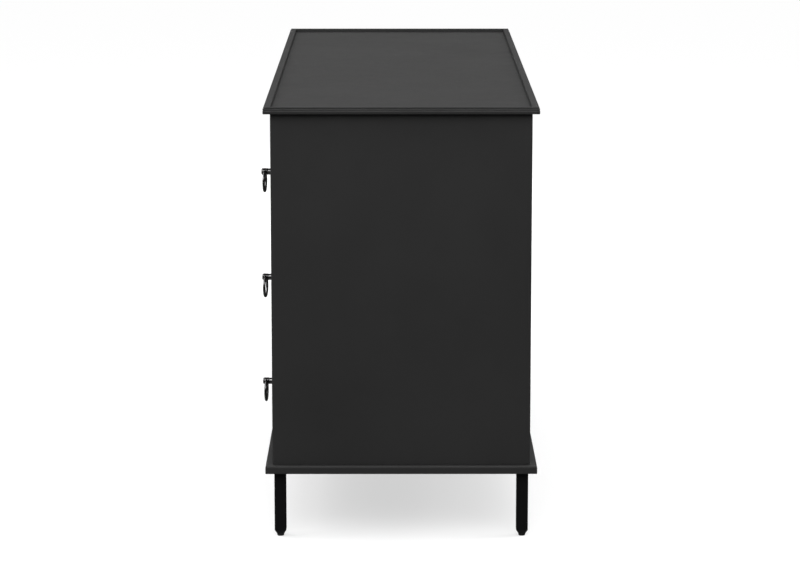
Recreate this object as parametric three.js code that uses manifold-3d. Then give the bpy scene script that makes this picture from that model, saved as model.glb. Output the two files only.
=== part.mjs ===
// A six-drawer dresser on four square legs: a board carcass under a tray top, two bays of three
// inset drawers, a pair of ring pulls on every drawer, and a levelling foot in every leg.
// Millimetres, +Z up. The drawers face -Y, and +X is to the right of someone facing them.
// The origin is on the floor, under the middle of the bounding box.

import * as THREE from "three";
import { mergeVertices } from "three/addons/utils/BufferGeometryUtils.js";
import Module from "manifold-3d";

const wasm = await Module();
wasm.setup();

// ---------- Driving dimensions ----------

const WIDTH = 1524; // top and base board, along X
const DEPTH = 508; // top and base board, along Y
const HEIGHT = 813; // floor to the top of the tray's lip
const OVERHANG = 13; // top and base board past the body, on all four sides
const GAP = 0.3; // between pieces that touch

const TOP_HEIGHT = 12.5; // top frame, seen from the side
const LIP_WIDTH = 13.5; // flat rim around the tray
const TRAY_DEPTH = 7; // rim down to the top panel
const TOP_EDGE_RADIUS = 3; // outer upper edge of the top frame
const LEDGE_HEIGHT = 2.4; // part of the top frame that the top panel sits on
const LEDGE_WIDTH = 15.5;

const BASE_HEIGHT = 15; // base board
const BASE_BEVEL_HEIGHT = 3.5; // its upper edge slopes in over this height
const BASE_BEVEL_WIDTH = 1;
const LEG_HEIGHT = 124.5; // floor to the base board

const BOARD = 18; // carcass boards and drawer fronts
const BACK_THICKNESS = 6;
const RAIL_HEIGHT = 36.5; // rails above the top row and below the bottom row
const ROWS = ["bottom", "middle", "top"];
const SIDES = { left: -1, right: 1 };
const PULLS = { inner: -1, outer: 1 }; // outer is nearer the end panel
const STOP_HEIGHT = 12; // strip at the back of each board that a closed drawer meets

const FRONT_GAP = 2; // around every drawer front
const BOX_CLEARANCE = 4; // drawer box to the carcass, each side
const BOX_HEIGHT = 160;
const BOX_DEPTH = 445;
const BOX_WALL = 12;
const BOX_FLOOR = 6;
const BOX_FLOOR_LIFT = 10; // under the drawer's floor

const PULL_SPACING = 458; // between the two pulls of a drawer
const PULL_REACH = 23; // drawer front to the tip of the post
const POST_RADIUS = 6.5; // at the head
const NECK_RADIUS = 6;
const NECK_START = 2; // from the drawer front; before it the post flares a little
const NECK_END = 10;
const HEAD_START = 12;
const POST_FLARE = 0.3;
const POST_ROUNDING = [1.2, 3.5]; // the head's rounded end, in and back from its corner
const EYE_REACH = 16.5; // drawer front to the middle of the eye
const EYE_RADIUS = 4.4;
const STUD_RADIUS = 2; // screwed into the drawer front
const STUD_LENGTH = 14;
const STUD_HOLE_RADIUS = 2.6;
const RING_RADIUS = 18.5; // to the middle of the wire
const WIRE_RADIUS = 2.5;
const RING_TWIST = [-3.2, -6.4, -4.4]; // degrees about the vertical that each row's rings hang at

const LEG_SIZE = 22; // square tube
const LEG_WALL = 2;
const LEG_INSET = 16; // base board's edge to the leg
const LEG_TIP_SIZE = 14.5; // square at the tapered lower end
const LEG_TAPER_HEIGHT = 5.7;
const LEG_END_HEIGHT = 26; // solid end that the foot screws into
const LEG_STUD_RADIUS = 4; // screwed up into the base board
const LEG_STUD_HEIGHT = 11;
const FOOT_HEIGHT = 6;
const FOOT_RADIUS = 7;
const PAD_RADIUS = 6; // at the floor
const FOOT_RIM = 2; // upright part of its edge
const STEM_RADIUS = 4;
const STEM_HEIGHT = 24; // inside the leg
const ROUND_CLEARANCE = 0.6; // radial, between a stem or stud and its faceted hole

// ---------- Places worked out from them ----------

const baseTop = LEG_HEIGHT + BASE_HEIGHT;
const bodyTop = HEIGHT - TOP_HEIGHT;
const bodyX = WIDTH / 2 - OVERHANG; // outer faces of the end panels
const bodyY = DEPTH / 2 - OVERHANG; // front and back of the body
const innerX = bodyX - BOARD; // inner faces of the end panels
const railBack = -bodyY + BOARD; // back of the drawer fronts and of the rails
const backFront = bodyY - BACK_THICKNESS; // front of the back panel
const bayWidth = innerX - BOARD / 2;
const bayMiddle = (innerX + BOARD / 2) / 2;
const rowsHeight = bodyTop - baseTop - 2 * RAIL_HEIGHT;
const rowOpening = (rowsHeight - (ROWS.length - 1) * BOARD) / ROWS.length;
const rowPitch = rowOpening + BOARD;
const panelTop = HEIGHT - TRAY_DEPTH;
const panelFlange = TOP_HEIGHT - TRAY_DEPTH - LEDGE_HEIGHT - GAP; // panel's edge over the ledge
const panelUnderside = panelTop - BOARD;
const legX = WIDTH / 2 - LEG_INSET - LEG_SIZE / 2;
const legY = DEPTH / 2 - LEG_INSET - LEG_SIZE / 2;

// ---------- Geometry helpers ----------

// A block between two values on each axis.
function block([x0, x1], [y0, y1], [z0, z1]) {
  const geometry = new THREE.BoxGeometry(x1 - x0, y1 - y0, z1 - z0);
  return geometry.translate((x0 + x1) / 2, (y0 + y1) / 2, (z0 + z1) / 2);
}

// A round bar of even radius along +Z from z0 to z1.
function bar(radius, z0, z1, sides = 12) {
  const geometry = new THREE.CylinderGeometry(radius, radius, z1 - z0, sides);
  return geometry.rotateX(Math.PI / 2).translate(0, 0, (z0 + z1) / 2);
}

// A board whose outline is drawn in Y and Z, running from x0 to x1.
function profiledBoard(outline, x0, x1) {
  const shape = new THREE.Shape(outline.map(([y, z]) => new THREE.Vector2(y, z)));
  const geometry = new THREE.ExtrudeGeometry(shape, { depth: x1 - x0, bevelEnabled: false });
  // The outline's plane turns upright: its X becomes Y, its Y becomes Z and the depth runs along X.
  const upright = new THREE.Matrix4().makeBasis(
    new THREE.Vector3(0, 1, 0),
    new THREE.Vector3(0, 0, 1),
    new THREE.Vector3(1, 0, 0),
  );
  return geometry.applyMatrix4(upright).translate(x0, 0, 0);
}

// Rectangles of half sizes halfX and halfY at height z, joined in order. Closed joins the last one
// to the first, as a mitred moulding; otherwise the first and last are capped, from the bottom up.
function rectangles(levels, closed) {
  const corners = [[1, 1], [-1, 1], [-1, -1], [1, -1]];
  const cornersOf = ([halfX, halfY, z]) => corners.flatMap(([x, y]) => [x * halfX, y * halfY, z]);
  const points = levels.flatMap(cornersOf);
  const faces = [];
  const joints = closed ? levels.length : levels.length - 1;
  for (let level = 0; level < joints; level++) {
    const lower = level * 4;
    const upper = ((level + 1) % levels.length) * 4;
    for (let side = 0; side < 4; side++) {
      const next = (side + 1) % 4;
      faces.push(lower + side, lower + next, upper + next);
      faces.push(lower + side, upper + next, upper + side);
    }
  }
  if (!closed) {
    const last = (levels.length - 1) * 4;
    faces.push(0, 2, 1, 0, 3, 2);
    faces.push(last, last + 1, last + 2, last, last + 2, last + 3);
  }
  const geometry = new THREE.BufferGeometry();
  geometry.setAttribute("position", new THREE.Float32BufferAttribute(points, 3));
  return geometry.setIndex(faces);
}

function solid(geometry) {
  const bare = geometry.clone();
  bare.deleteAttribute("normal");
  bare.deleteAttribute("uv");
  const merged = mergeVertices(bare, 1e-4);
  const vertProperties = new Float32Array(merged.attributes.position.array);
  const triVerts = new Uint32Array(merged.index.array);
  return new wasm.Manifold(new wasm.Mesh({ numProp: 3, vertProperties, triVerts }));
}

function geometryOf(manifold) {
  const mesh = manifold.getMesh();
  const geometry = new THREE.BufferGeometry();
  geometry.setAttribute("position", new THREE.BufferAttribute(mesh.vertProperties, 3));
  geometry.setIndex(new THREE.BufferAttribute(mesh.triVerts, 1));
  return geometry;
}

function joined(...pieces) {
  return geometryOf(pieces.map(solid).reduce((whole, piece) => whole.add(piece)));
}

function cut(piece, ...tools) {
  return geometryOf(tools.map(solid).reduce((whole, tool) => whole.subtract(tool), solid(piece)));
}

// ---------- Materials ----------

const LOOKS = {
  black_board: { color: 0x2b2a2a, roughness: 0.42, metalness: 0 },
  leg_steel: { color: 0x141414, roughness: 0.4, metalness: 0.6 },
  drawer_wood: { color: 0xb48c5c, roughness: 0.6, metalness: 0 },
  pull_metal: { color: 0x5c5c60, roughness: 0.18, metalness: 1 },
  foot_plastic: { color: 0x151515, roughness: 0.65, metalness: 0 },
};

function piece(name, look, geometry) {
  const made = geometry.clone();
  made.computeVertexNormals();
  const mesh = new THREE.Mesh(made, new THREE.MeshStandardMaterial({ ...LOOKS[look], flatShading: true }));
  mesh.name = name;
  return mesh;
}

// ---------- Top: a moulded frame with a panel dropped into it ----------

// Going round the frame's section: the outer face up, over the rounded edge and the lip, down the
// tray's wall, in along the ledge and back under it. Each point is how far in and how far up.
function topFrame() {
  const shoulder = TOP_HEIGHT - TOP_EDGE_RADIUS;
  const section = [[0, 0], [0, shoulder]];
  for (const degrees of [30, 60, 90]) {
    const turn = THREE.MathUtils.degToRad(degrees);
    section.push([TOP_EDGE_RADIUS * (1 - Math.cos(turn)), shoulder + TOP_EDGE_RADIUS * Math.sin(turn)]);
  }
  const ledgeEnd = LIP_WIDTH + LEDGE_WIDTH;
  section.push([LIP_WIDTH, TOP_HEIGHT], [LIP_WIDTH, LEDGE_HEIGHT], [ledgeEnd, LEDGE_HEIGHT], [ledgeEnd, 0]);
  const levels = section.map(([inward, up]) => [WIDTH / 2 - inward, DEPTH / 2 - inward, bodyTop + up]);
  return rectangles(levels, true);
}

// The panel's edge is rebated underneath, so its full thickness drops between the carcass boards.
function topPanel() {
  const flangeX = WIDTH / 2 - LIP_WIDTH - GAP;
  const flangeY = DEPTH / 2 - LIP_WIDTH - GAP;
  const flangeBottom = panelTop - panelFlange;
  const coreX = innerX - GAP;
  const coreY = -railBack - GAP;
  return rectangles(
    [
      [coreX, coreY, panelUnderside],
      [coreX, coreY, flangeBottom],
      [flangeX, flangeY, flangeBottom],
      [flangeX, flangeY, panelTop],
    ],
    false,
  );
}

// ---------- Carcass boards ----------

// Round holes for the legs' studs are drilled up into its underside.
function baseBoard() {
  const slab = rectangles(
    [
      [WIDTH / 2, DEPTH / 2, LEG_HEIGHT],
      [WIDTH / 2, DEPTH / 2, baseTop - BASE_BEVEL_HEIGHT],
      [WIDTH / 2 - BASE_BEVEL_WIDTH, DEPTH / 2 - BASE_BEVEL_WIDTH, baseTop],
    ],
    false,
  );
  const depth = LEG_STUD_HEIGHT + GAP;
  const holes = [];
  for (const x of [-legX, legX]) {
    for (const y of [-legY, legY]) {
      const hole = bar(LEG_STUD_RADIUS + ROUND_CLEARANCE, LEG_HEIGHT - depth, LEG_HEIGHT + depth);
      holes.push(hole.translate(x, y, 0));
    }
  }
  return cut(slab, ...holes);
}

function endPanel(side) {
  const faces = [side * innerX, side * bodyX].sort((a, b) => a - b);
  return block(faces, [-bodyY, bodyY], [baseTop + GAP, bodyTop - GAP]);
}

// It is notched at the front, above and below, to let the rails run past.
function centreDivider() {
  const front = -bodyY;
  const notch = railBack + GAP;
  const back = backFront - GAP;
  const bottom = baseTop + GAP;
  const top = panelUnderside - GAP;
  const overBottomRail = baseTop + RAIL_HEIGHT + GAP;
  const underTopRail = bodyTop - RAIL_HEIGHT - GAP;
  const outline = [
    [front, overBottomRail],
    [notch, overBottomRail],
    [notch, bottom],
    [back, bottom],
    [back, top],
    [notch, top],
    [notch, underTopRail],
    [front, underTopRail],
  ];
  return profiledBoard(outline, -BOARD / 2, BOARD / 2);
}

function backPanel() {
  return block([-innerX + GAP, innerX - GAP], [backFront, bodyY], [baseTop + GAP, bodyTop - GAP]);
}

function rail(bottom, top) {
  return block([-innerX + GAP, innerX - GAP], [-bodyY, railBack], [bottom, top]);
}

// The floor that a row of drawers runs on in one bay, with the strip that stops them at the back.
function bayBoard(side, top, front) {
  const back = backFront - GAP;
  const stop = railBack + GAP + BOX_DEPTH + GAP;
  const outline = [
    [front, top - BOARD],
    [back, top - BOARD],
    [back, top + STOP_HEIGHT],
    [stop, top + STOP_HEIGHT],
    [stop, top],
    [front, top],
  ];
  const ends = [side * (BOARD / 2 + GAP), side * (innerX - GAP)].sort((a, b) => a - b);
  return profiledBoard(outline, ...ends);
}

// ---------- Legs and feet ----------

// A square tube on the leg's own axis, closed above by a studded end, tapered and drilled below.
function leg() {
  const half = LEG_SIZE / 2;
  const tip = LEG_TIP_SIZE / 2;
  const bottom = FOOT_HEIGHT + GAP;
  const top = LEG_HEIGHT - GAP;
  const outside = rectangles(
    [
      [tip, tip, bottom],
      [half, half, bottom + LEG_TAPER_HEIGHT],
      [half, half, top],
    ],
    false,
  );
  const hollow = [LEG_WALL - half, half - LEG_WALL];
  const inside = block(hollow, hollow, [bottom + LEG_END_HEIGHT, top - 2 * LEG_WALL]);
  const bore = bar(STEM_RADIUS + ROUND_CLEARANCE, 0, bottom + LEG_END_HEIGHT + LEG_WALL);
  const stud = bar(LEG_STUD_RADIUS, top - LEG_WALL, top + LEG_STUD_HEIGHT);
  return cut(joined(outside, stud), inside, bore);
}

// A round pad on a stem that screws up into the leg.
function foot() {
  const outline = [
    [0, 0],
    [PAD_RADIUS, 0],
    [FOOT_RADIUS, FOOT_HEIGHT - FOOT_RIM],
    [FOOT_RADIUS, FOOT_HEIGHT],
    [STEM_RADIUS, FOOT_HEIGHT],
    [STEM_RADIUS, FOOT_HEIGHT + STEM_HEIGHT],
    [0, FOOT_HEIGHT + STEM_HEIGHT],
  ];
  const points = outline.map(([radius, height]) => new THREE.Vector2(radius, height));
  return new THREE.LatheGeometry(points, 16).rotateX(Math.PI / 2);
}

// ---------- Drawers, each about the middle of its front's outer face ----------

const frontHalfX = bayWidth / 2 - FRONT_GAP;
const frontHalfZ = rowOpening / 2 - FRONT_GAP;

function drawerFront() {
  const slab = block([-frontHalfX, frontHalfX], [0, BOARD], [-frontHalfZ, frontHalfZ]);
  const drill = STUD_LENGTH + GAP;
  const holes = Object.values(PULLS).map((end) => {
    const hole = bar(STUD_HOLE_RADIUS, -drill, drill, 10).rotateX(Math.PI / 2);
    return hole.translate((end * PULL_SPACING) / 2, 0, 0);
  });
  return cut(slab, ...holes);
}

// Four walls around a floor that is set up from their lower edges, open at the top.
function drawerBox() {
  const outX = bayWidth / 2 - BOX_CLEARANCE;
  const front = BOARD + GAP;
  const back = front + BOX_DEPTH;
  const bottom = GAP - rowOpening / 2;
  const top = bottom + BOX_HEIGHT;
  const floor = bottom + BOX_FLOOR_LIFT;
  const insideX = [BOX_WALL - outX, outX - BOX_WALL];
  const insideY = [front + BOX_WALL, back - BOX_WALL];
  const outside = block([-outX, outX], [front, back], [bottom, top]);
  const above = block(insideX, insideY, [floor + BOX_FLOOR, top + BOX_WALL]);
  const below = block(insideX, insideY, [bottom - BOX_WALL, floor]);
  return cut(outside, above, below);
}

// A turned post with a rounded head, an eye through it along X and a stud at its back.
function pullPost() {
  const [near, far] = POST_ROUNDING;
  const outline = [
    [0, -STUD_LENGTH],
    [STUD_RADIUS, -STUD_LENGTH],
    [STUD_RADIUS, GAP],
    [NECK_RADIUS + POST_FLARE, GAP],
    [NECK_RADIUS, NECK_START],
    [NECK_RADIUS, NECK_END],
    [POST_RADIUS, HEAD_START],
    [POST_RADIUS, PULL_REACH - far],
    [POST_RADIUS - near, PULL_REACH - near],
    [POST_RADIUS - far, PULL_REACH],
    [0, PULL_REACH],
  ];
  const points = outline.map(([radius, out]) => new THREE.Vector2(radius, out));
  const post = new THREE.LatheGeometry(points, 14).rotateX(Math.PI);
  const eye = bar(EYE_RADIUS, -2 * POST_RADIUS, 2 * POST_RADIUS, 14);
  return cut(post, eye.rotateY(Math.PI / 2).translate(0, -EYE_REACH, 0));
}

// The ring hangs from the middle of the eye, which is its own origin.
function pullRing(twist) {
  const ring = new THREE.TorusGeometry(RING_RADIUS, WIRE_RADIUS, 8, 24);
  return ring.rotateX(Math.PI / 2).translate(0, 0, -RING_RADIUS).rotateZ(THREE.MathUtils.degToRad(twist));
}

// ---------- Assembly ----------

function makeTop() {
  const group = new THREE.Group();
  group.add(piece("top_frame", "black_board", topFrame()));
  group.add(piece("top_panel", "black_board", topPanel()));
  return group;
}

function makeCarcass() {
  const group = new THREE.Group();
  const add = (name, geometry) => group.add(piece(name, "black_board", geometry));
  add("base_board", baseBoard());
  add("centre_divider", centreDivider());
  add("back_panel", backPanel());
  add("top_rail", rail(bodyTop - RAIL_HEIGHT, bodyTop - GAP));
  add("bottom_rail", rail(baseTop + GAP, baseTop + RAIL_HEIGHT));
  for (const [sideName, side] of Object.entries(SIDES)) {
    add("end_panel_" + sideName, endPanel(side));
    const bottomRow = baseTop + RAIL_HEIGHT;
    add("bottom_board_" + sideName, bayBoard(side, bottomRow, railBack + GAP));
    add("lower_dust_board_" + sideName, bayBoard(side, bottomRow + rowPitch, -bodyY));
    add("upper_dust_board_" + sideName, bayBoard(side, bottomRow + 2 * rowPitch, -bodyY));
  }
  return group;
}

function makeLegs() {
  const group = new THREE.Group();
  for (const [endName, end] of [["front", -1], ["back", 1]]) {
    for (const [sideName, side] of Object.entries(SIDES)) {
      const name = endName + "_" + sideName;
      const corner = new THREE.Group();
      corner.position.set(side * legX, end * legY, 0);
      corner.add(piece("leg_" + name, "leg_steel", leg()));
      corner.add(piece("foot_" + name, "foot_plastic", foot()));
      group.add(corner);
    }
  }
  return group;
}

function makeDrawer(sideName, side, rowName, row) {
  const group = new THREE.Group();
  const name = sideName + "_" + rowName;
  const height = baseTop + RAIL_HEIGHT + rowOpening / 2 + row * rowPitch;
  group.position.set(side * bayMiddle, -bodyY, height);
  group.add(piece("drawer_front_" + name, "black_board", drawerFront()));
  group.add(piece("drawer_box_" + name, "drawer_wood", drawerBox()));
  for (const [endName, end] of Object.entries(PULLS)) {
    const pull = new THREE.Group();
    pull.position.x = (side * end * PULL_SPACING) / 2;
    pull.add(piece("pull_post_" + name + "_" + endName, "pull_metal", pullPost()));
    const hung = pullRing(side * end * RING_TWIST[row]);
    const ring = piece("pull_ring_" + name + "_" + endName, "pull_metal", hung);
    ring.position.y = -EYE_REACH;
    pull.add(ring);
    group.add(pull);
  }
  return group;
}

const dresser = new THREE.Group();
dresser.add(makeTop(), makeCarcass(), makeLegs());
for (const [sideName, side] of Object.entries(SIDES)) {
  ROWS.forEach((rowName, row) => dresser.add(makeDrawer(sideName, side, rowName, row)));
}
// The pulls reach further forward than the top does, so the carcass stands a little behind the origin.
dresser.position.y = (PULL_REACH - OVERHANG) / 2;

export default dresser;
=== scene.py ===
from math import atan2, cos, hypot, pi, radians, sin

import bpy
import numpy as np
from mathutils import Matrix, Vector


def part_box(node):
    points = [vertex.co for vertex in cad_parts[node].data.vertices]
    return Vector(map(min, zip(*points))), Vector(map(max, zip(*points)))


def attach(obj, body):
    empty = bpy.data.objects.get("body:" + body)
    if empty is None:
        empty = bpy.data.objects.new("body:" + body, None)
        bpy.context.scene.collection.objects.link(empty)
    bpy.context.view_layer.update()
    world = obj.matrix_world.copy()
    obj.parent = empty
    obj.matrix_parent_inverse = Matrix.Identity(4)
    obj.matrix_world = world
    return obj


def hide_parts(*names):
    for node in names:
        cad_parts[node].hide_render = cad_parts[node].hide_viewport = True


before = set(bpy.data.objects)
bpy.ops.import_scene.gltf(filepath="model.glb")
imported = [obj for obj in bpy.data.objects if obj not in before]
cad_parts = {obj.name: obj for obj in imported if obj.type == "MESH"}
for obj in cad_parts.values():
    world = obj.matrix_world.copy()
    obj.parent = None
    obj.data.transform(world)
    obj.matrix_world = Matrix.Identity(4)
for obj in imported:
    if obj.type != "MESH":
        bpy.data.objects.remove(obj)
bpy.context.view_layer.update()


# ---- End panels ----
# Two solid boards, 18 mm thick, that stand on the base board and carry the top. Their upright
# edges are rounded over with a cutter, then they are sprayed with satin black lacquer, rubbed down
# and sprayed again. Dowels and glue hold them.

PANEL_EDGE = 0.0032  # radius of the upright edges
PANEL_END_EDGE = 0.0004  # the sawn ends stand flat on the base and under the top
HOLD = 0.003  # from a rounding to the row of points that keeps the flat face flat
LEAST_RADIUS = 0.0002  # a corner that is inset never closes to a point
ARC_STEPS = 4
AXES = {"x": [1, 2, 0], "y": [2, 0, 1], "z": [0, 1, 2]}  # across, up and through a board

LACQUER_DARK = (0.0265, 0.0264, 0.0264, 1)
LACQUER_LIGHT = (0.0305, 0.0304, 0.0304, 1)
NOISE_MIDDLE = (0.3, 0.7)  # most of a noise's values lie between these
HAZE_FINENESS = 2.7  # the gloss varies on a finer scale than the colour
HAZE_STRETCH = (1, 1.3, 0.8)
RIPPLE_FINENESS = 0.16  # slow ripples under the droplets


def rectangle_loops(half_u, half_v, radius, insets, steps=ARC_STEPS, hold=HOLD):
    """Rectangles with round corners, one for each inset, each a row of points (u, v).

    In every corner t runs over a quarter turn. The point is the corner's centre plus the radius
    that is left, radius - inset, times (cos t, sin t). A point a little before the arc and one a
    little after it, on the tangents, keep the sides straight.
    """
    insets = np.asarray(insets, float)[:, None]
    left = np.maximum(radius - insets, LEAST_RADIUS)
    turn = np.concatenate([[0], np.linspace(0, pi / 2, steps + 1), [pi / 2]])
    slide = np.zeros(steps + 3)
    slide[[0, -1]] = -hold, hold
    angle = (np.arange(4)[:, None] * pi / 2 + turn).ravel()
    slide = np.tile(slide, 4)
    sign_u = np.repeat([1, -1, -1, 1], steps + 3)
    sign_v = np.repeat([1, 1, -1, -1], steps + 3)
    u = sign_u * (half_u - insets - left) + left * np.cos(angle) - slide * np.sin(angle)
    v = sign_v * (half_v - insets - left) + left * np.sin(angle) + slide * np.cos(angle)
    return np.stack([u, v], -1)


def skin(loops, closed=False):
    """Joins neighbouring rows of points (row, point, xyz) with quads, each row running round.

    With closed the last row joins the first; otherwise both get one flat face.
    """
    index = np.arange(loops.shape[0] * loops.shape[1]).reshape(loops.shape[:2])
    lower = index if closed else index[:-1]
    upper = np.roll(index, -1, 0) if closed else index[1:]
    corners = [lower, np.roll(lower, -1, 1), np.roll(upper, -1, 1), upper]
    faces = np.stack(corners, -1).reshape(-1, 4).tolist()
    if not closed:
        faces += [index[0, ::-1].tolist(), index[-1].tolist()]
    return loops.reshape(-1, 3), faces


def along(points, axis):
    """Turns points (u, v, w) so that w runs along the named axis."""
    placed = np.empty_like(points)
    placed[..., AXES[axis]] = points
    return placed


def framed(section, low, high, axis, radius, closed=False):
    """A section carried round a rectangle: point (inset, rise) gives a loop inset from the sides.

    low and high are the corners of the space it fills, and rise is measured from low along axis.
    """
    section = np.asarray(section, float)
    u, v, w = AXES[axis]
    half = (np.array(high) - np.array(low)) / 2
    loops = rectangle_loops(half[u], half[v], radius, section[:, 0])
    rise = np.broadcast_to(section[:, 1, None, None] - half[w], loops.shape[:2] + (1,))
    points, faces = skin(np.concatenate([loops, rise], -1), closed)
    return along(points, axis) + np.array(low) + half, faces


def eased_section(thickness, edge):
    """Half a board's outline: flat, a quarter circle, the straight edge and a quarter circle."""
    t = np.linspace(0, pi / 2, ARC_STEPS + 1)
    hold = min(HOLD, (thickness - 2 * edge) / 3)
    lower = np.stack([edge * (1 - np.sin(t)), edge * (1 - np.cos(t))], -1)
    half = np.concatenate([[[edge + HOLD, 0]], lower, [[0, edge + hold]]])
    return np.concatenate([half, (half * (1, -1) + (0, thickness))[::-1]])


def eased_board(low, high, axis, edge):
    """A board of even thickness along axis, with every edge rounded to the same radius."""
    section = eased_section((np.array(high) - np.array(low))[AXES[axis][2]], edge)
    return framed(section, low, high, axis, edge)


def add_piece(name, shape, material, slot, body, *nodes):
    """Puts (points, faces) into a smooth mesh at the origin and ties it to the frame."""
    points, faces = shape
    mesh = bpy.data.meshes.new(name)
    mesh.from_pydata(np.asarray(points).tolist(), [], faces)
    mesh.shade_smooth()
    mesh.materials.append(material)
    piece = bpy.data.objects.new(name, mesh)
    bpy.context.collection.objects.link(piece)
    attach(piece, body)
    if nodes:
        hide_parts(*nodes)
    return piece


def new_material(name, **values):
    """A material with its main shader's even values set by socket name."""
    material = bpy.data.materials.new(name)
    material.use_nodes = True
    shader = material.node_tree.nodes["Principled BSDF"]
    for socket, value in values.items():
        shader.inputs[socket.replace("_", " ")].default_value = value
    return material, material.node_tree, shader


def noise(tree, scale, detail=2.0, stretch=(1, 1, 1), distortion=0.0):
    """Noise on the piece's own coordinates; stretch divides its size along each axis."""
    place = tree.nodes.new("ShaderNodeTexCoord")
    mapping = tree.nodes.new("ShaderNodeMapping")
    mapping.inputs["Scale"].default_value = stretch
    texture = tree.nodes.new("ShaderNodeTexNoise")
    texture.inputs["Scale"].default_value = scale
    texture.inputs["Detail"].default_value = detail
    texture.inputs["Distortion"].default_value = distortion
    tree.links.new(place.outputs["Object"], mapping.inputs["Vector"])
    tree.links.new(mapping.outputs["Vector"], texture.inputs["Vector"])
    return texture.outputs["Fac"]


def ramp(tree, value, *stops):
    """Colours by value: each stop is (position, colour)."""
    node = tree.nodes.new("ShaderNodeValToRGB")
    elements = node.color_ramp.elements
    for element, (position, colour) in zip(elements, (stops[0], stops[-1])):
        element.position, element.color = position, colour
    for position, colour in stops[1:-1]:
        elements.new(position).color = colour
    tree.links.new(value, node.inputs["Fac"])
    return node.outputs["Color"]


def tint(tree, shader, value, dark, light):
    """Colours the shader from dark to light by the middle of a noise."""
    start, end = NOISE_MIDDLE
    tones = ramp(tree, value, (start, dark), (end, light))
    tree.links.new(tones, shader.inputs["Base Color"])


def spread(tree, value, low, high):
    """The middle of a noise spread over low to high."""
    node = tree.nodes.new("ShaderNodeMapRange")
    ends = zip(("From Min", "From Max", "To Min", "To Max"), (*NOISE_MIDDLE, low, high))
    for socket, number in ends:
        node.inputs[socket].default_value = number
    tree.links.new(value, node.inputs["Value"])
    return node.outputs["Result"]


def dimples(tree, shader, height, depth, strength=1.0, below=None):
    """Bumps of that depth in metres on the shader's normal, on top of other bumps if given."""
    node = tree.nodes.new("ShaderNodeBump")
    node.inputs["Strength"].default_value = strength
    node.inputs["Distance"].default_value = depth
    tree.links.new(height, node.inputs["Height"])
    if below:
        tree.links.new(below, node.inputs["Normal"])
    tree.links.new(node.outputs["Normal"], shader.inputs["Normal"])
    return node.outputs["Normal"]


def sprayed(name, dark, light, gloss, cloud, peel, depth, specular):
    """A sprayed coat: cloudy colour, cloudy gloss and the fine dimples that the droplets leave.

    gloss is (least, most) roughness; cloud and peel are the noises' scales per metre.
    """
    material, tree, shader = new_material(name, Specular_IOR_Level=specular)
    clouds = noise(tree, cloud, detail=5.0)
    tint(tree, shader, clouds, dark, light)
    hazes = noise(tree, cloud * HAZE_FINENESS, 6.0, HAZE_STRETCH)
    tree.links.new(spread(tree, hazes, *gloss), shader.inputs["Roughness"])
    droplets = dimples(tree, shader, noise(tree, peel, 2.0), depth)
    ripples = noise(tree, peel * RIPPLE_FINENESS, 3.0)
    dimples(tree, shader, ripples, depth * 2, 0.5, droplets)
    return material


lacquer = sprayed(
    "black_lacquer", LACQUER_DARK, LACQUER_LIGHT, (0.36, 0.42), 5.0, 520.0, 0.000006, 0.25
)

for side in ("left", "right"):
    node = "end_panel_" + side
    low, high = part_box(node)
    section = eased_section(high[2] - low[2], PANEL_END_EDGE)
    board = framed(section, low, high, "z", PANEL_EDGE)
    add_piece("end_board_" + side, board, lacquer, "black_board", "carcass", node)


# ---- Base board ----
# One wide board under the carcass, 15 mm thick, standing out a little all round. A cutter has
# rounded its lower edge and slanted its upper edge. It is screwed up into the panels and
# lacquered with them.

BASE_SECTION = np.array([
    [4.5, 0], [1.2, 0], [0.75, 0.08], [0.35, 0.35], [0.08, 0.75], [0, 1.2], [0, 3.4],
    [0, 9.6], [0, 11.3], [0.06, 11.8], [0.75, 13.9], [0.95, 14.4], [1.35, 14.8], [1.9, 15],
    [5, 15],
]) / 1000
BASE_CORNER = 0.0022

low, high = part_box("base_board")
shape = framed(BASE_SECTION, low, high, "z", BASE_CORNER)
add_piece("base_slab", shape, lacquer, "black_board", "carcass", "base_board")


# ---- Boards inside the carcass ----
# The divider between the bays, the rails, the boards that the drawers run on and the strips that
# stop them, all glued and doweled. The bottom boards and the strips are only stained black and
# sealed, so they are duller and show a trace of their grain. The rest is lacquered.

BOARD_EDGE = 0.0008
GLUE_GAP = 0.0003
STOP_STRIP = 0.012  # height of the strip above its board
STRIP_EDGE = 0.0015
INSIDE_DARK = (0.010, 0.0095, 0.009, 1)
INSIDE_LIGHT = (0.026, 0.024, 0.022, 1)


def stained(name, stretch):
    """Black stain that has sunk into the grain: streaks along the board and open pores."""
    material, tree, shader = new_material(name, Specular_IOR_Level=0.3)
    streaks = noise(tree, 5.0, 7.0, stretch, 0.4)
    tones = ramp(tree, streaks, (0.25, INSIDE_DARK), (0.75, INSIDE_LIGHT))
    tree.links.new(tones, shader.inputs["Base Color"])
    pores = noise(tree, 30.0, 4.0, stretch)
    tree.links.new(spread(tree, pores, 0.52, 0.7), shader.inputs["Roughness"])
    dimples(tree, shader, pores, 0.00008, 0.6)
    return material


def prism(first, last, start, end, axis):
    """Straight lines from outline first at start to outline last at end, with flat ends.

    Both outlines are rows of (across, up) of equal length that run anticlockwise.
    """
    loops = np.stack([first, last])
    area = np.cross(loops[0], np.roll(loops[0], -1, 0)).sum()
    loops = loops if area > 0 else loops[:, ::-1]
    rise = np.broadcast_to(np.array([start, end])[:, None, None], loops.shape[:2] + (1,))
    points, faces = skin(np.concatenate([loops, rise], -1))
    return along(points, axis), faces


def eased(piece, width):
    """Breaks a flat-sided piece's sharp edges with a two-step rounding."""
    piece.data.shade_flat()
    bevel = piece.modifiers.new("broken_edges", "BEVEL")
    bevel.width = width
    bevel.segments = 2
    bevel.limit_method = "ANGLE"
    bevel.angle_limit = radians(30)


stain = stained("black_stain_along_x", (1, 16, 16))

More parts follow.
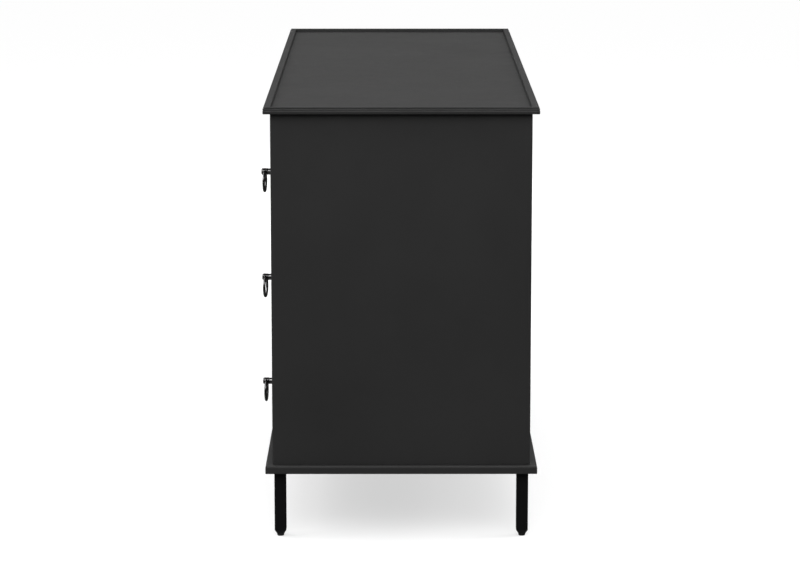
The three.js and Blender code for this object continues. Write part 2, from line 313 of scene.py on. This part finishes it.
low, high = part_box("centre_divider")
rail_back, rail_top = np.array(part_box("bottom_rail")[1])[1:] + GLUE_GAP
rail_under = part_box("top_rail")[0][2] - GLUE_GAP
divider_outline = np.array([
    [low[1], rail_top], [rail_back, rail_top], [rail_back, low[2]], [high[1], low[2]],
    [high[1], high[2]], [rail_back, high[2]], [rail_back, rail_under], [low[1], rail_under],
])
shape = prism(divider_outline, divider_outline, low[0], high[0], "x")
piece = add_piece("bay_divider", shape, lacquer, "black_board", "carcass", "centre_divider")
eased(piece, BOARD_EDGE)

for node in ("bottom_rail", "top_rail"):
    board = eased_board(*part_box(node), "y", BOARD_EDGE)
    add_piece(node + "_bar", board, lacquer, "black_board", "carcass", node)

box_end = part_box("drawer_box_left_top")[1][1] + GLUE_GAP
for side in ("left", "right"):
    for level in ("bottom_board", "lower_dust_board", "upper_dust_board"):
        node = f"{level}_{side}"
        low, high = np.array(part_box(node))
        top = high - (0, 0, STOP_STRIP)
        finish = stain if level == "bottom_board" else lacquer
        board = eased_board(low, top, "z", BOARD_EDGE)
        add_piece(node + "_shelf", board, finish, "black_board", "carcass", node)
        strip_low = np.array([low[0], box_end, top[2]])
        strip = eased_board(strip_low, high, "z", STRIP_EDGE)
        add_piece(node + "_stop", strip, stain, "black_board", "carcass")


# ---- Back panel ----
# A 6 mm fibreboard panel let in between the end panels, painted black on its face and screwed
# to the boards with small round-headed screws, which are not let in.

SHEET_EDGE = 0.0006
SCREW_RADIUS = 0.0036
SCREW_RISE = 0.0014
DOME_POWER = 0.35  # under a half, so the dome is flatter than half a ball
FLAT_MIDDLE = 0.015  # of the radius
CROSS_SIZE = 0.0007  # half the width of the driver's slots
CROSS_REACH = 0.62  # of the radius
CROSS_DEPTH = 0.0008
SCREW_TURNS = (7.0, 3.0)  # radians per metre across and up, so the crosses stand differently
SCREW_INSET = 0.011
SCREW_COLUMNS = 6
SCREW_ROWS = 4

back_paint = sprayed(
    "black_paint", (0.0165, 0.0163, 0.016, 1), (0.0195, 0.0192, 0.0188, 1), (0.52, 0.6), 7.0,
    700.0, 0.00002, 0.3,
)


def plated(name, dark, light, patches, gloss, hazes, dents=None):
    """Plated metal: its colour and its gloss each vary with a noise of (scale, detail).

    dents, if given, is the scale and the depth of the faint unevenness that polishing leaves.
    """
    material, tree, shader = new_material(name, Metallic=1.0)
    tint(tree, shader, noise(tree, *patches), dark, light)
    tree.links.new(spread(tree, noise(tree, *hazes), *gloss), shader.inputs["Roughness"])
    if dents:
        scale, depth = dents
        dimples(tree, shader, noise(tree, scale, 2.0), depth, 0.5)
    return material


screw_zinc = plated(
    "black_zinc", (0.05, 0.05, 0.052, 1), (0.1, 0.1, 0.1, 1), (900.0, 3.0), (0.28, 0.45),
    (400.0, 4.0),
)


def screw_head(x, z, y, turn, rings=8, around=24):
    """A domed head on a wall that faces +Y, with a crossed recess.

    r runs from the rim to the middle and a runs round. The rise is a flattened dome,
    1 - r^2 to the dome's power, less a dip where the point is near either of two crossed lines.
    """
    r = np.cos(np.linspace(0, pi / 2, rings))[:, None] * (1 - FLAT_MIDDLE) + FLAT_MIDDLE
    a = np.linspace(0, 2 * pi, around, endpoint=False)[None, :]
    across, up = r * np.cos(a + turn), r * np.sin(a + turn)
    dome = np.maximum(1 - r**2, 0) ** DOME_POWER + 0 * a
    to_line = np.minimum(np.abs(r * np.cos(a)), np.abs(r * np.sin(a))) * SCREW_RADIUS
    dip = np.exp(-((to_line / CROSS_SIZE) ** 4)) * (r < CROSS_REACH)
    rise = dome * SCREW_RISE - dip * CROSS_DEPTH
    loops = np.stack([up * SCREW_RADIUS + z, across * SCREW_RADIUS + x, rise + y], -1)
    points, faces = skin(loops)
    # The head is open underneath, where it lies on the wall.
    return along(points, "y"), faces[:-2] + faces[-1:]


def joined(shapes):
    """Several (points, faces) as one."""
    counts = np.cumsum([0] + [len(points) for points, faces in shapes])
    points = np.concatenate([points for points, faces in shapes])
    faces = [[i + start for i in face] for start, (p, fs) in zip(counts, shapes) for face in fs]
    return points, faces


low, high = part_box("back_panel")
sheet = eased_board(low, high, "y", SHEET_EDGE)
add_piece("back_sheet", sheet, back_paint, "black_board", "carcass", "back_panel")
columns = np.linspace(low[0] + SCREW_INSET, high[0] - SCREW_INSET, SCREW_COLUMNS)
rows = np.linspace(low[2] + SCREW_INSET, high[2] - SCREW_INSET, SCREW_ROWS)
places = [(x, z) for x in columns for z in (rows[0], rows[-1])]
places += [(x, z) for x in (columns[0], columns[-1], 0.0) for z in rows[1:-1]]
heads = [screw_head(x, z, high[1], np.dot(SCREW_TURNS, (x, z))) for x, z in places]
add_piece("back_screws", joined(heads), screw_zinc, "black_board", "carcass")


# ---- Top ----
# A moulding with mitred corners makes a raised rim, and a panel is let into it a little lower, so
# the top is a shallow tray. The moulding's outer face has a band, a groove and a bead, then a
# narrow quirk below the flat rim. Both are solid wood under the same lacquer.

RIM_SECTION = np.array([
    [26, 0], [4, 0], [1.2, 0], [0.75, 0.1], [0.4, 0.45], [0.2, 1.2], [0.06, 2.2], [0, 3.2],
    [0, 4.6], [0.08, 5.6], [0.35, 6.3], [0.78, 6.75], [0.88, 6.95], [0.8, 7.15], [0.42, 7.7],
    [0.2, 8.4], [0.18, 8.8], [0.3, 9.4], [0.7, 10.0], [1.25, 10.4], [1.8, 10.6],
    [3.4, 10.7], [3.7, 11.2], [3.4, 11.75], [2.1, 11.82], [1.98, 11.9], [1.95, 12.1],
    [2.0, 12.3], [2.15, 12.45], [2.4, 12.5], [4.8, 12.5], [11.5, 12.5], [13.2, 12.5],
    [13.38, 12.45], [13.48, 12.34], [13.5, 12.2], [13.5, 10.0], [13.5, 3.4], [13.5, 2.4],
    [15, 2.4], [27.5, 2.4], [29, 2.4], [29, 1.2], [29, 0],
]) / 1000
PANEL_LIP = 0.0028  # thickness of the panel's edge, which rests on the moulding
PANEL_PRESS = 0.00025  # the panel is pressed against the moulding all round
RIM_CORNER = 0.0016
PANEL_CORNER = 0.0006
CORE_EDGE = 0.001

low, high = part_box("top_frame")
shape = framed(RIM_SECTION, low, high, "z", RIM_CORNER, closed=True)
add_piece("top_moulding", shape, lacquer, "black_board", "carcass", "top_frame")

low, high = np.array(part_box("top_panel")) + np.array([[-1, -1, 0], [1, 1, 0]]) * PANEL_PRESS
core = high[0] - (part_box("end_panel_right")[0][0] - GLUE_GAP)
thick = high[2] - low[2]
lip = thick - PANEL_LIP
PANEL_SECTION = np.array([
    [core + 0.004, 0], [core + CORE_EDGE, 0], [core, CORE_EDGE], [core, lip - CORE_EDGE],
    [core, lip], [core - CORE_EDGE, lip], [CORE_EDGE, lip], [0, lip], [0, lip + 0.0008],
    [0, thick - 0.0011], [0, thick - 0.0003], [0.0001, thick - 0.0001], [0.0003, thick],
    [0.0033, thick],
])
shape = framed(PANEL_SECTION, low, high, "z", PANEL_CORNER)
add_piece("top_board", shape, lacquer, "black_board", "carcass", "top_panel")


# ---- Legs ----
# Four short square steel tubes with rounded corners. Each is welded shut and ground to a taper at
# its lower end, threaded there for the foot, powder-coated black, and screwed to the base
# board by a stud.

LEG_HALF = 0.011
LEG_CORNER = 0.003
LEG_SECTION = np.array([
    [3.75, 0], [3.62, 0.12], [0.5, 4.85], [0.12, 5.5], [0, 6.3], [0, 8.5], [0, 60], [0, 115.4],
    [0, 117.0], [0.2, 117.7], [0.5, 117.9], [3.5, 117.9],
]) / 1000
BORE = 0.0046
BORE_DEPTH = 0.0284
BORE_LIP = 0.0006  # a row of points near the mouth keeps the bore's edge crisp

powder = sprayed(
    "black_powder_coat", (0.0034, 0.0034, 0.0035, 1), (0.0052, 0.0052, 0.0053, 1),
    (0.38, 0.46), 14.0, 1100.0, 0.00003, 0.26,
)


def leg_shape(x, y, bottom):
    """A rounded square carried up the leg, starting inside the bore.

    The bore's rows are circles of points at the same angles as the square's points.
    """
    section = LEG_SECTION + (0, bottom)
    square = rectangle_loops(LEG_HALF, LEG_HALF, LEG_CORNER, section[:, 0], hold=0.002)
    angle = np.arctan2(square[0, :, 1], square[0, :, 0])
    circle = BORE * np.stack([np.cos(angle), np.sin(angle)], -1)
    rows = np.concatenate([np.stack([circle] * 3), square])
    bore_rises = [bottom + BORE_DEPTH, bottom + BORE_LIP, bottom]
    rises = np.concatenate([bore_rises, section[:, 1]])
    heights = np.broadcast_to(rises[:, None, None], rows.shape[:2] + (1,))
    points, faces = skin(np.concatenate([rows, heights], -1))
    return points + (x, y, 0), faces


FOOT_OUTLINE = np.array([
    [0.2, 0], [4.6, 0], [5.6, 0], [5.95, 0.12], [6.1, 0.4], [6.6, 2.2], [6.9, 3.6], [7.0, 4.4],
    [7.0, 5.3], [6.88, 5.72], [6.6, 5.92], [6.2, 6.0], [5.2, 6.0], [4.2, 6.0], [3.6, 6.0],
]) / 1000
THREAD_PITCH = 0.00125
THREAD_DEPTH = 0.00055
THREAD_STEEPNESS = 1.25
THREAD_CREST = 0.1
STEM_RADIUS = 0.004
STEM_START = 0.0055  # above the foot's lower face
THREAD_END = 0.002  # the thread runs out over this length
THREAD_SHRINK = 0.0006  # the stem is thinner there by this much

moulded = sprayed(
    "black_plastic", (0.0085, 0.0085, 0.0085, 1), (0.012, 0.012, 0.012, 1), (0.5, 0.6), 60.0,
    2400.0, 0.00004, 0.45,
)
stem_steel = plated(
    "zinc_plate", (0.34, 0.35, 0.36, 1), (0.5, 0.5, 0.5, 1), (300.0, 5.0), (0.25, 0.42),
    (900.0, 3.0),
)


def turned(outline, centre, around=40, axis="z"):
    """Each outline point (radius, rise) carried round a circle about the axis through centre."""
    angle = np.linspace(0, 2 * pi, around, endpoint=False)
    radius, rise = outline[:, 0, None], outline[:, 1, None]
    rise = rise + 0 * angle
    loops = np.stack([radius * np.cos(angle), radius * np.sin(angle), rise], -1)
    points, faces = skin(loops)
    return along(points, axis) + centre, faces


def threaded(x, y, bottom, top, around=32, steps=10):
    """A screw thread: the radius is the stem's less a triangle wave of height / pitch - turn.

    The wave is steepened and cut off at 0 and 1, which leaves narrow flats at crest and root.
    """
    rise = np.arange(bottom, top, THREAD_PITCH / steps)[:, None]
    angle = np.linspace(0, 2 * pi, around, endpoint=False)[None, :]
    phase = (rise / THREAD_PITCH - angle / (2 * pi)) % 1
    wave = np.abs(2 * phase - 1)
    run_out = 1 - np.clip((top - rise) / THREAD_END, 0, 1)
    groove = THREAD_DEPTH * np.clip(THREAD_STEEPNESS * wave - THREAD_CREST, 0, 1)
    radius = STEM_RADIUS - groove - THREAD_SHRINK * run_out
    loops = np.stack([radius * np.cos(angle), radius * np.sin(angle), rise + 0 * angle], -1)
    points, faces = skin(loops)
    return points + (x, y, 0), faces


for end in ("front", "back"):
    for side in ("left", "right"):
        corner = f"{end}_{side}"
        low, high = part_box("leg_" + corner)
        middle_x, middle_y = (low[0] + high[0]) / 2, (low[1] + high[1]) / 2
        shape = leg_shape(middle_x, middle_y, low[2])
        add_piece("tube_" + corner, shape, powder, "leg_steel", "carcass", "leg_" + corner)

        # The foot is a moulded pad on a threaded stem.
        low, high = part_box("foot_" + corner)
        pad = turned(FOOT_OUTLINE, (middle_x, middle_y, low[2]))
        body = node = "foot_" + corner
        add_piece("pad_" + corner, pad, moulded, "foot_plastic", body, node)
        stem = threaded(middle_x, middle_y, low[2] + STEM_START, high[2])
        add_piece("stem_" + corner, stem, stem_steel, "foot_plastic", body)


# ---- Drawer fronts ----
# Six solid fronts that sit inside the frame with an even gap round them. Their edges are
# lightly rounded and they are lacquered all over, then screwed to the boxes from inside.

FRONT_EDGE = 0.0015
ROWS = ("bottom", "middle", "top")

for side in ("left", "right"):
    for row in ROWS:
        name = f"{side}_{row}"
        node = "drawer_front_" + name
        board = eased_board(*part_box(node), "y", FRONT_EDGE)
        add_piece("face_" + name, board, lacquer, "black_board", "drawer_" + name, node)


# ---- Drawer boxes ----
# Sides, front and back of solid pale wood, 12 mm thick, joined at the corners with through
# dovetails, and a thin floor let into grooves. The wood is planed, sanded and clear lacquered.

WALL = 0.012
TAILS = 5
TAIL_ROOT = 0.0102  # half a tail's width where it leaves the side
TAIL_FLARE = 0.0018  # wider at its end by this much each way
FLOOR_LIFT = 0.010
FLOOR_THICKNESS = 0.006
FLOOR_TONGUE = 0.005
FLOOR_EDGE = 0.0004
SOFT_EDGE = 0.0005
WOOD_BANDS = (
    (0.30, (0.40, 0.235, 0.110, 1)), (0.42, (0.55, 0.36, 0.19, 1)),
    (0.52, (0.62, 0.43, 0.245, 1)), (0.60, (0.49, 0.305, 0.150, 1)),
    (0.72, (0.64, 0.45, 0.26, 1)),
)
FIBRE_DARK = (0.62, 0.56, 0.5, 1)
FIBRE_SHARE = 0.75


def planed_wood(name, stretch):
    """Pale wood: broad growth bands drawn out along the board, and fine fibres between others
    that are darker, lower and duller.
    """
    material, tree, shader = new_material(name, Specular_IOR_Level=0.45)
    tones = ramp(tree, noise(tree, 2.2, 4.0, stretch, 1.1), *WOOD_BANDS)
    fibres = noise(tree, 26.0, 6.0, stretch, 0.2)
    streaks = ramp(tree, fibres, (0.36, FIBRE_DARK), (0.56, (1, 1, 1, 1)))
    mix = tree.nodes.new("ShaderNodeMix")
    mix.data_type = "RGBA"
    mix.blend_type = "MULTIPLY"
    mix.inputs[0].default_value = FIBRE_SHARE
    # Inputs 6 and 7 and output 2 are the mix's colours.
    tree.links.new(tones, mix.inputs[6])
    tree.links.new(streaks, mix.inputs[7])
    tree.links.new(mix.outputs[2], shader.inputs["Base Color"])
    tree.links.new(spread(tree, fibres, 0.5, 0.36), shader.inputs["Roughness"])
    dimples(tree, shader, fibres, 0.00012, 0.5)
    return material


wood_deep = planed_wood("pale_wood_along_y", (14, 1, 14))
wood_wide = planed_wood("pale_wood_along_x", (1, 14, 14))


def tail_places(low, high):
    """Heights of the middles of the tails, as a column."""
    pitch = (high - low) / TAILS
    return (low + pitch * (np.arange(TAILS) + 0.5))[:, None]


def tail_board(low, high):
    """A side seen from outside: a rectangle with a row of dovetails at either end."""
    tail_end = TAIL_ROOT + TAIL_FLARE
    tail = np.array([-TAIL_ROOT, -tail_end, tail_end, TAIL_ROOT])
    up = (tail_places(low[2], high[2]) + tail).ravel()
    reach = np.tile([WALL, 0, 0, WALL], TAILS)
    up = np.concatenate([[low[2]], up, [high[2]]])
    reach = np.concatenate([[WALL], reach, [WALL]])
    front = np.stack([low[1] + reach, up], -1)
    back = np.stack([high[1] - reach, up], -1)[::-1]
    outline = np.concatenate([front, back])
    return prism(outline, outline, low[0], high[0], "x")


def pin_board(low, high, outer, inner):
    """A front or back: a board whose ends are cut away for the tails, more at its outer face."""

    def comb(half):
        up = (tail_places(low[2], high[2]) + np.array([-half, -half, half, half])).ravel()
        reach = np.tile([0, WALL, WALL, 0], TAILS)
        up = np.concatenate([[low[2]], up, [high[2]]])
        reach = np.concatenate([[0], reach, [0]])
        near = np.stack([up, low[0] + reach], -1)
        far = np.stack([up, high[0] - reach], -1)[::-1]
        return np.concatenate([near, far])

    flare = {outer: TAIL_ROOT + TAIL_FLARE, inner: TAIL_ROOT}
    start, end = sorted((outer, inner))
    return prism(comb(flare[start]), comb(flare[end]), start, end, "y")


for side in ("left", "right"):
    for row in ROWS:
        name = f"{side}_{row}"
        body = "drawer_" + name
        low, high = np.array(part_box("drawer_box_" + name))
        left_end, right_start = low[0] + WALL, high[0] - WALL
        for wall, shape, wood in (
            (f"box_side_{name}_l", tail_board(low, (left_end, *high[1:])), wood_deep),
            (f"box_side_{name}_r", tail_board((right_start, *low[1:]), high), wood_deep),
            (f"box_front_{name}", pin_board(low, high, low[1], low[1] + WALL), wood_wide),
            (f"box_back_{name}", pin_board(low, high, high[1], high[1] - WALL), wood_wide),
        ):
            eased(add_piece(wall, shape, wood, "drawer_wood", body), SOFT_EDGE)
        inward = np.array([WALL - FLOOR_TONGUE, WALL - FLOOR_TONGUE, 0])
        floor_low = low + inward + (0, 0, FLOOR_LIFT)
        floor_high = np.array([high[0], high[1], floor_low[2] + FLOOR_THICKNESS]) - inward
        shape = eased_board(floor_low, floor_high, "z", FLOOR_EDGE)
        node = "drawer_box_" + name
        add_piece(f"box_floor_{name}", shape, wood_wide, "drawer_wood", body, node)


# ---- Pulls ----
# Each pull is a turned post screwed through the drawer front, with a rounded head, and a ring
# of round wire. The head is drilled across and the hole flared at both ends, so that the ring
# hangs in a narrow waist. Both are plated in polished black nickel.

PULL_REACH = 0.023  # from the drawer front to the tip
POST_OUTLINE = np.array([
    [0.3, 23.0], [2.2, 22.97], [3.8, 22.82], [4.9, 22.45], [5.7, 21.8], [6.22, 20.95],
    [6.45, 20.0], [6.5, 19.0], [6.5, 16.5], [6.5, 14.6], [6.5, 12.9], [6.42, 12.3],
    [6.2, 11.7], [6.04, 11.0], [6.0, 10.2], [6.0, 8.0], [6.0, 5.0], [6.0, 2.6], [6.06, 1.9],
    [6.2, 1.2], [6.3, 0.7], [6.3, 0.45], [6.1, 0.32], [5.0, 0.3], [2.6, 0.3], [2.0, 0.2],
    [2.0, -1.5], [2.0, -13.4], [1.5, -14.0], [0.3, -14.0],
]) / 1000
EYE_REACH = 0.0165  # from the drawer front to the middle of the eye
EYE_OUTLINE = np.array([
    [5.05, -8.0], [4.35, -6.5], [3.9, -5.5], [3.55, -4.5], [3.2, -3.0], [2.95, -1.5], [2.85, 0],
    [2.95, 1.5], [3.2, 3.0], [3.55, 4.5], [3.9, 5.5], [4.35, 6.5], [5.05, 8.0],
]) / 1000
RING_RADIUS = 0.0185
WIRE_RADIUS = 0.0025
RING_TWIST = {"bottom": -3.2, "middle": -6.4, "top": -4.4}  # degrees about the upright
POST_AROUND = 56  # points round the post
SHARP_ANGLE = 38  # degrees; an edge that turns by more stays crisp, as round the eye

nickel = plated(
    "black_nickel", (0.17, 0.17, 0.175, 1), (0.24, 0.238, 0.235, 1), (140.0, 5.0), (0.11, 0.2),
    (320.0, 6.0), dents=(700.0, 0.000012),
)


def drilled_post():
    """The post about its own axis, which points to -Y, with the eye cut out."""
    parts = []
    for label, (points, faces) in (
        ("post", turned(POST_OUTLINE[::-1], (0, 0, 0), POST_AROUND, "y")),
        ("eye", turned(EYE_OUTLINE, (0, EYE_REACH, 0), axis="x")),
    ):
        mesh = bpy.data.meshes.new(label)
        mesh.from_pydata(points.tolist(), [], faces)
        part = bpy.data.objects.new(label, mesh)
        bpy.context.collection.objects.link(part)
        parts.append(part)
    post, eye = parts
    cut = post.modifiers.new("eye", "BOOLEAN")
    cut.operation = "DIFFERENCE"
    cut.solver = "EXACT"
    cut.object = eye
    depsgraph = bpy.context.evaluated_depsgraph_get()
    mesh = bpy.data.meshes.new_from_object(post.evaluated_get(depsgraph))
    points = np.zeros(len(mesh.vertices) * 3)
    mesh.vertices.foreach_get("co", points)
    faces = [list(polygon.vertices) for polygon in mesh.polygons]
    for part in parts:
        bpy.data.objects.remove(part)
    # The outlines run along +Y, so the drilled post is turned half round about Z.
    return points.reshape(-1, 3) * (-1, -1, 1), faces


def ring_shape(eye, twist, around=80, about=20):
    """A torus that hangs from the eye: a runs round the ring and b round the wire.

    The wire's middle is the ring's radius from a point that far below the eye, and the whole ring
    is turned about the upright through the eye by the twist.
    """
    a = np.linspace(0, 2 * pi, around, endpoint=False)[:, None]
    b = np.linspace(0, 2 * pi, about, endpoint=False)[None, :]
    reach = RING_RADIUS + WIRE_RADIUS * np.cos(b)
    x, y = reach * np.cos(a), WIRE_RADIUS * np.sin(b) + 0 * a
    z = reach * np.sin(a) - RING_RADIUS
    c, s = cos(radians(twist)), sin(radians(twist))
    loops = np.stack([x * c - y * s, x * s + y * c, z], -1)
    points, faces = skin(loops, closed=True)
    return points + eye, faces


post_points, post_faces = drilled_post()

for side, hand in (("left", -1), ("right", 1)):
    for row in ROWS:
        for place, end in (("inner", -1), ("outer", 1)):
            name = f"{side}_{row}_{place}"
            node = "pull_post_" + name
            low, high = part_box(node)
            axis_x, axis_z = (low[0] + high[0]) / 2, (low[2] + high[2]) / 2
            front = low[1] + PULL_REACH
            shape = post_points + (axis_x, front, axis_z), post_faces
            body = f"drawer_{side}_{row}"
            post = add_piece("post_" + name, shape, nickel, "pull_metal", body, node)
            post.data.set_sharp_from_angle(angle=radians(SHARP_ANGLE))
            eye = np.array([axis_x, front - EYE_REACH, axis_z])
            shape = ring_shape(eye, hand * end * RING_TWIST[row])
            body, node = "ring_" + name, "pull_ring_" + name
            add_piece("wire_" + name, shape, nickel, "pull_metal", body, node)


# ---- The room ----
# A plain pale floor and soft light: a sky that is bright high up and dim at the horizon, a soft
# box overhead and more round the sides, of which only three show in the gloss. The camera stands
# off the right-hand end.

CAMERA_PLACE = (6.1937, -0.0088, 1.4736)
CAMERA_PITCH = 10.30
CAMERA_YAW = 0.12
CAMERA_LENS = 134.56
FLOOR_HALF = 60
FLOOR_GLOW = 0.565  # the floor gives off light, so that it stays pale away from the lamps
FLOOR_PAINT = 0.40

camera_data = bpy.data.cameras.new("camera")
camera_data.lens = CAMERA_LENS
camera_data.sensor_width = 36.0
camera_data.clip_end = 200.0
camera = bpy.data.objects.new("camera", camera_data)
camera.location = CAMERA_PLACE
camera.rotation_euler = (radians(90 - CAMERA_PITCH), 0, radians(90 - CAMERA_YAW))
bpy.context.collection.objects.link(camera)
bpy.context.scene.camera = camera
bpy.context.scene.view_settings.view_transform = "Standard"

floor_mesh = bpy.data.meshes.new("floor")
corners = np.array([(-1, -1, 0), (1, -1, 0), (1, 1, 0), (-1, 1, 0)]) * FLOOR_HALF
floor_mesh.from_pydata(corners.tolist(), [], [(0, 1, 2, 3)])
floor = bpy.data.objects.new("floor", floor_mesh)
bpy.context.collection.objects.link(floor)
floor.visible_diffuse = False
floor.visible_glossy = False
paper = bpy.data.materials.new("pale_floor")
paper.use_nodes = True
tree = paper.node_tree
tree.nodes.clear()
glow = tree.nodes.new("ShaderNodeEmission")
glow.inputs["Strength"].default_value = FLOOR_GLOW
matt = tree.nodes.new("ShaderNodeBsdfDiffuse")
matt.inputs["Color"].default_value = (FLOOR_PAINT, FLOOR_PAINT, FLOOR_PAINT, 1)
both = tree.nodes.new("ShaderNodeAddShader")
output = tree.nodes.new("ShaderNodeOutputMaterial")
tree.links.new(glow.outputs["Emission"], both.inputs[0])
tree.links.new(matt.outputs["BSDF"], both.inputs[1])
tree.links.new(both.outputs["Shader"], output.inputs["Surface"])
floor_mesh.materials.append(paper)

sky = bpy.data.worlds.new("soft_sky")
sky.use_nodes = True
bpy.context.scene.world = sky
tree = sky.node_tree
tree.nodes.clear()
sight = tree.nodes.new("ShaderNodeTexCoord")
parts = tree.nodes.new("ShaderNodeSeparateXYZ")
height = tree.nodes.new("ShaderNodeMapRange")
height.inputs["From Min"].default_value = -1.0
height.inputs["From Max"].default_value = 1.0
tree.links.new(sight.outputs["Generated"], parts.inputs["Vector"])
tree.links.new(parts.outputs["Z"], height.inputs["Value"])
# Brightness by height, from straight down at 0 to straight up at 1: first the light that the
# pieces receive, then what shows in their gloss, where black flags keep the zenith dark.
SKY = (
    (0.0, 0.30), (0.16, 0.20), (0.33, 0.03), (0.49, 0.015), (0.53, 0.02), (0.587, 0.03),
    (0.66, 0.07), (0.75, 0.4), (0.87, 0.9), (1, 0.8),
)
GLOSS_SKY = (
    (0.0, 0.14), (0.16, 0.11), (0.30, 0.04), (0.49, 0.01), (0.53, 0.02), (0.587, 0.03),
    (0.66, 0.08), (0.75, 0.35), (0.85, 0.3), (0.93, 0.08), (1, 0.04),
)
SKY_STRENGTH = 1.6
rays = tree.nodes.new("ShaderNodeLightPath")
backdrop = tree.nodes.new("ShaderNodeBackground")
backdrop.inputs["Color"].default_value = (1, 1, 1, 1)
output = tree.nodes.new("ShaderNodeOutputWorld")
shown = backdrop
for ray, stops in (("Is Diffuse Ray", SKY), ("Is Glossy Ray", GLOSS_SKY)):
    light = tree.nodes.new("ShaderNodeBackground")
    light.inputs["Strength"].default_value = SKY_STRENGTH
    greys = [(at, (tone, tone, tone, 1)) for at, tone in stops]
    tree.links.new(ramp(tree, height.outputs["Result"], *greys), light.inputs["Color"])
    choose = tree.nodes.new("ShaderNodeMixShader")
    tree.links.new(rays.outputs[ray], choose.inputs[0])
    tree.links.new(shown.outputs[0], choose.inputs[1])
    tree.links.new(light.outputs["Background"], choose.inputs[2])
    shown = choose
tree.links.new(shown.outputs[0], output.inputs["Surface"])


def soft_box(name, place, target, size, watts, glossy):
    """A rectangular lamp at place that faces target."""
    lamp = bpy.data.lights.new(name, "AREA")
    lamp.shape = "RECTANGLE"
    lamp.size, lamp.size_y = size
    lamp.energy = watts
    holder = bpy.data.objects.new(name, lamp)
    x, y, z = np.array(target, float) - place
    holder.location = place
    holder.rotation_euler = (atan2(hypot(x, y), -z), 0, atan2(y, x) - pi / 2)
    holder.visible_glossy = glossy
    holder.visible_camera = False
    bpy.context.collection.objects.link(holder)


# Each lamp: bearing in degrees, distance, height, the height that it faces, size, watts, and
# whether it shows in the gloss.
LAMPS = {
    "overhead": (0, 0, 3.2, 0, (3.4, 2.2), 26, False),
    "end_near_left": (-20, 4.1, 2.1, 0.45, (1.8, 1.2), 15, False),
    "end_near_right": (20, 4.1, 2.1, 0.45, (1.8, 1.2), 19, False),
    "back": (90, 4.1, 2.1, 0.45, (1.8, 1.2), 75, False),
    "end_far": (180, 4.1, 2.1, 0.45, (1.8, 1.2), 60, False),
    "box_end": (0, 3.6, 3.3, 0.5, (2.0, 2.0), 46, True),
    "box_front": (-88, 3.5, 2.35, 0.5, (4.6, 2.9), 100, True),
    "strip_back": (90, 4.0, 3.2, 0.5, (1.5, 0.45), 10, True),
}
for name, (bearing, distance, rise, aim, size, watts, glossy) in LAMPS.items():
    away = np.array([cos(radians(bearing)), sin(radians(bearing)), 0]) * distance
    soft_box(name, away + (0, 0, rise), (0, 0, aim), size, watts, glossy)
